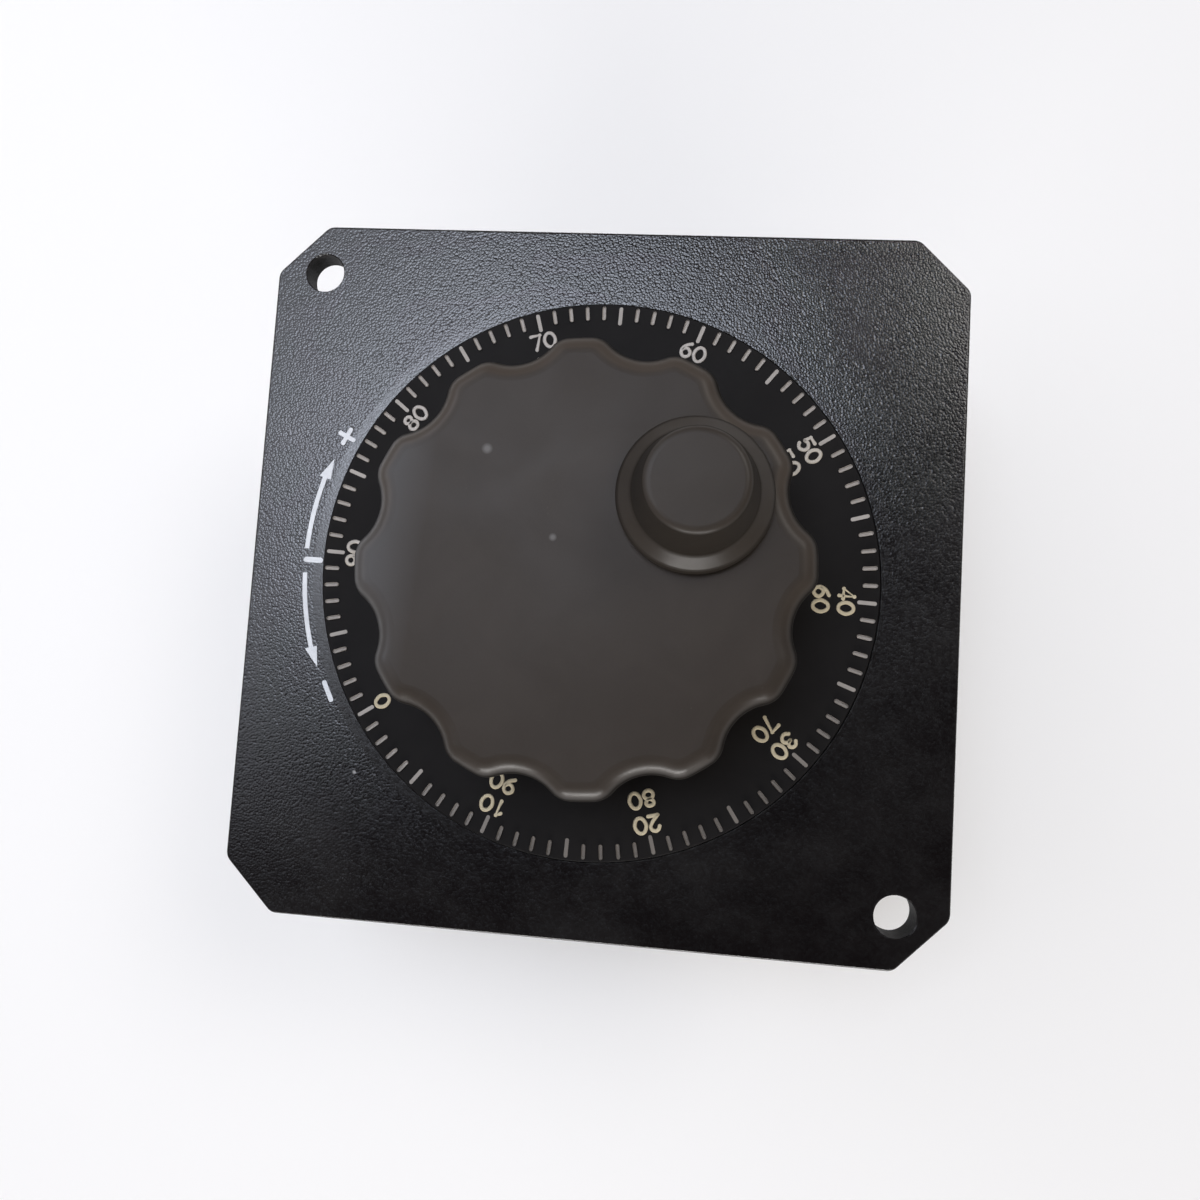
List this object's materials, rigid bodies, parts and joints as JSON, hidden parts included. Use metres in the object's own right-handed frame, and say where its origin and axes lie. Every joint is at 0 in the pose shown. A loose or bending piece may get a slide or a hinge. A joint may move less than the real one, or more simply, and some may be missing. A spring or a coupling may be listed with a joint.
{
  "type": "pulse generator handwheel",
  "caption": "Panel-mounted manual pulse generator: a lobed handwheel with a crank knob turns a numbered dial on a square plate, with bearings, detent and encoder in a round housing.",
  "frame": {"origin": "centre of the front plate's rear face, on the shaft's axis, at the middle of the two mounting holes", "axes": "+Z along the shaft towards the user, +Y up on the panel, +X to the user's right"},
  "size_m": [0.0762, 0.0762, 0.0689],
  "materials": {
    "plate_paint": "fine-textured powder coat",
    "dial_black": "smooth black",
    "wheel_plastic": "satin",
    "knob_plastic": "satin",
    "housing_plastic": "fine grain",
    "cover_plastic": "fine grain",
    "steel": "turned",
    "screw_steel": "zinc plated",
    "bearing_steel": "ground",
    "brass": "turned",
    "seal_rubber": "soft",
    "washer_plastic": "smooth",
    "magnet": "sintered",
    "detent_steel": "stamped",
    "code_sheet": "etched",
    "hub_aluminium": "turned",
    "board": "solder mask",
    "chip_plastic": "moulded",
    "can_aluminium": "sleeved",
    "terminal_plastic": "moulded",
    "terminal_metal": "tinned"
  },
  "bodies": {
    "housing": {"front_plate": "plate_paint", "plate_screws": "screw_steel", "shaft_seal": "seal_rubber", "front_outer_race": "bearing_steel", "rear_outer_race": "bearing_steel", "detent_poles": "detent_steel", "detent_magnet": "magnet", "detent_screws": "screw_steel", "light_barrier": "chip_plastic", "circuit_board": "board", "board_screws": "screw_steel", "line_driver": "chip_plastic", "capacitors": "can_aluminium", "housing_body": "housing_plastic", "cover_seal": "seal_rubber", "rear_cover": "cover_plastic", "rear_cover_screws": "screw_steel", "terminal_block": "terminal_plastic", "terminal_plates": "terminal_metal", "terminal_screws": "screw_steel"},
    "rotor": {"shaft": "steel", "front_inner_race": "bearing_steel", "rear_inner_race": "bearing_steel", "bearing_spacer": "steel", "retaining_ring": "steel", "detent_rotor": "detent_steel", "code_disc": "code_sheet", "code_disc_hub": "hub_aluminium", "dial_disc": "dial_black", "dial_screws": "screw_steel", "handwheel": "wheel_plastic", "hub_sleeve": "brass", "grub_screws": "screw_steel", "knob_bush": "brass", "knob_washer": "washer_plastic"},
    "knob": {"crank_knob": "knob_plastic", "knob_pin": "steel", "knob_clip": "steel"},
    "bearing_balls": {"front_balls": "bearing_steel", "front_cage": "brass", "rear_balls": "bearing_steel", "rear_cage": "brass"}
  },
  "joints": [
    {"name": "handwheel_turn", "type": "hinge", "parent": "housing", "child": "rotor", "pos_m": [0, 0, 0], "axis": [0, 0, 1], "continuous": true},
    {"name": "knob_spin", "type": "hinge", "parent": "rotor", "child": "knob", "pos_m": [0.00981, 0.00656, 0.02], "axis": [0, 0, 1], "continuous": true},
    {"name": "ball_orbit", "type": "hinge", "parent": "housing", "child": "bearing_balls", "pos_m": [0, 0, 0], "axis": [0, 0, 1], "continuous": true}
  ],
  "couplings": [
    {"joint": "ball_orbit", "follows": "handwheel_turn", "ratio": 0.39474}
  ]
}
